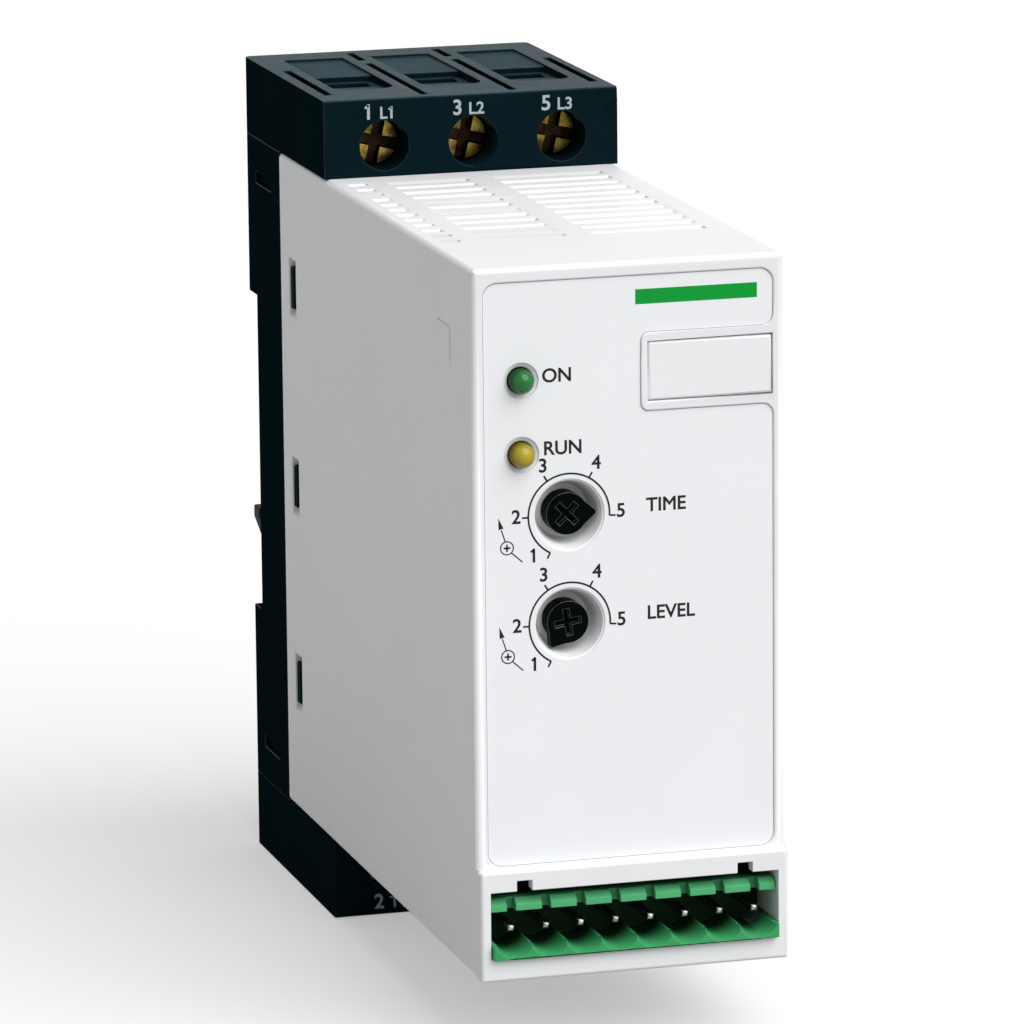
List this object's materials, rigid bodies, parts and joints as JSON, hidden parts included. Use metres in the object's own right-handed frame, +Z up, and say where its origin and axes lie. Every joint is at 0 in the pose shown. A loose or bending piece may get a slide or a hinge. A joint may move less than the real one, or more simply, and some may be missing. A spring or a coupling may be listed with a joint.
{
  "type": "soft starter",
  "caption": "Slim motor soft starter: dark rail-mount base with screw terminal blocks, pale vented cover with setting dials, lamps and a plug header.",
  "frame": {"origin": "centre of the mounting rail's height, on the rail seat's plane, at mid width", "axes": "+Y rearwards into the rail, -Y out of the front panel, +Z up, +X to the right seen from the front"},
  "size_m": [0.045, 0.131, 0.124],
  "materials": {
    "base_plastic": "satin",
    "cover_plastic": "satin",
    "label_film": "satin",
    "plate_plastic": "satin",
    "green_lens": "gloss",
    "yellow_lens": "gloss",
    "knob_plastic": "satin",
    "black_plastic": "matte",
    "header_plastic": "satin",
    "tinned_metal": "satin",
    "clip_plastic": "satin",
    "spring_steel": "satin",
    "plated_steel": "satin",
    "screw_brass": "satin",
    "bar_copper": "satin",
    "board_laminate": "satin",
    "sink_aluminium": "satin",
    "relay_plastic": "satin",
    "disc_coating": "satin",
    "core_steel": "satin",
    "can_aluminium": "satin"
  },
  "bodies": {
    "housing": {"base_housing": "base_plastic", "upper_terminal_block": "base_plastic", "lower_terminal_block": "base_plastic", "front_cover": "cover_plastic", "front_label": "label_film", "legend_plate": "plate_plastic", "led_green": "green_lens", "led_yellow": "yellow_lens", "start_time_pot": "black_plastic", "voltage_pot": "black_plastic", "control_board": "board_laminate", "power_board": "board_laminate", "link_board": "board_laminate", "rear_socket": "black_plastic", "front_socket": "black_plastic", "pin_header": "header_plastic", "header_pins": "tinned_metal", "clip_spring": "spring_steel", "power_module_1": "black_plastic", "power_module_2": "black_plastic", "heat_sink": "sink_aluminium", "heat_sink_screws": "plated_steel", "bypass_relay_1": "relay_plastic", "bypass_relay_2": "relay_plastic", "varistors": "disc_coating", "supply_transformer": "core_steel", "capacitors": "can_aluminium", "control_chip": "black_plastic", "power_board_screws": "plated_steel", "control_board_screws": "plated_steel", "bus_bar_1": "bar_copper", "bus_bar_2": "bar_copper", "bus_bar_3": "bar_copper", "bus_bar_4": "bar_copper", "bus_bar_5": "bar_copper", "bus_bar_6": "bar_copper"},
    "start_time_dial": {"start_time_dial": "knob_plastic"},
    "voltage_dial": {"voltage_dial": "knob_plastic"},
    "clip": {"din_clip": "clip_plastic"},
    "screw_1": {"terminal_screw_1": "screw_brass"},
    "clamp_1": {"wire_clamp_1": "plated_steel"},
    "screw_2": {"terminal_screw_2": "screw_brass"},
    "clamp_2": {"wire_clamp_2": "plated_steel"},
    "screw_3": {"terminal_screw_3": "screw_brass"},
    "clamp_3": {"wire_clamp_3": "plated_steel"},
    "screw_4": {"terminal_screw_4": "screw_brass"},
    "clamp_4": {"wire_clamp_4": "plated_steel"},
    "screw_5": {"terminal_screw_5": "screw_brass"},
    "clamp_5": {"wire_clamp_5": "plated_steel"},
    "screw_6": {"terminal_screw_6": "screw_brass"},
    "clamp_6": {"wire_clamp_6": "plated_steel"}
  },
  "joints": [
    {"name": "start_time_turn", "type": "hinge", "parent": "housing", "child": "start_time_dial", "pos_m": [-0.00875, -0.1205, 0.007], "axis": [0, 1, 0], "range_deg": [-240, 5]},
    {"name": "voltage_turn", "type": "hinge", "parent": "housing", "child": "voltage_dial", "pos_m": [-0.00875, -0.1205, -0.0084], "axis": [0, 1, 0], "range_deg": [-8, 237]},
    {"name": "clip_slide", "type": "slide", "parent": "housing", "child": "clip", "axis": [0, 0, -1], "range_m": [0, 0.0035], "stiffness_N_per_m": 1500, "springref_m": -0.002, "deforming": ["clip_spring"]},
    {"name": "screw_turn_1", "type": "hinge", "parent": "housing", "child": "screw_1", "pos_m": [-0.0133, -0.0365, 0.0468], "axis": [0, 1, 0], "range_deg": [0, 1922]},
    {"name": "clamp_slide_1", "type": "slide", "parent": "housing", "child": "clamp_1", "axis": [0, -1, 0], "range_m": [0, 0.0032]},
    {"name": "screw_turn_2", "type": "hinge", "parent": "housing", "child": "screw_2", "pos_m": [0.0003, -0.0365, 0.0468], "axis": [0, 1, 0], "range_deg": [0, 1922]},
    {"name": "clamp_slide_2", "type": "slide", "parent": "housing", "child": "clamp_2", "axis": [0, -1, 0], "range_m": [0, 0.0032]},
    {"name": "screw_turn_3", "type": "hinge", "parent": "housing", "child": "screw_3", "pos_m": [0.0139, -0.0365, 0.0468], "axis": [0, 1, 0], "range_deg": [0, 1922]},
    {"name": "clamp_slide_3", "type": "slide", "parent": "housing", "child": "clamp_3", "axis": [0, -1, 0], "range_m": [0, 0.0032]},
    {"name": "screw_turn_4", "type": "hinge", "parent": "housing", "child": "screw_4", "pos_m": [-0.0133, -0.0365, -0.0632], "axis": [0, 1, 0], "range_deg": [0, 1922]},
    {"name": "clamp_slide_4", "type": "slide", "parent": "housing", "child": "clamp_4", "axis": [0, -1, 0], "range_m": [0, 0.0032]},
    {"name": "screw_turn_5", "type": "hinge", "parent": "housing", "child": "screw_5", "pos_m": [0.0003, -0.0365, -0.0632], "axis": [0, 1, 0], "range_deg": [0, 1922]},
    {"name": "clamp_slide_5", "type": "slide", "parent": "housing", "child": "clamp_5", "axis": [0, -1, 0], "range_m": [0, 0.0032]},
    {"name": "screw_turn_6", "type": "hinge", "parent": "housing", "child": "screw_6", "pos_m": [0.0139, -0.0365, -0.0632], "axis": [0, 1, 0], "range_deg": [0, 1922]},
    {"name": "clamp_slide_6", "type": "slide", "parent": "housing", "child": "clamp_6", "axis": [0, -1, 0], "range_m": [0, 0.0032]}
  ],
  "couplings": [
    {"joint": "screw_turn_1", "follows": "clamp_slide_1", "rad_per_m": 10472},
    {"joint": "screw_turn_2", "follows": "clamp_slide_2", "rad_per_m": 10472},
    {"joint": "screw_turn_3", "follows": "clamp_slide_3", "rad_per_m": 10472},
    {"joint": "screw_turn_4", "follows": "clamp_slide_4", "rad_per_m": 10472},
    {"joint": "screw_turn_5", "follows": "clamp_slide_5", "rad_per_m": 10472},
    {"joint": "screw_turn_6", "follows": "clamp_slide_6", "rad_per_m": 10472}
  ]
}
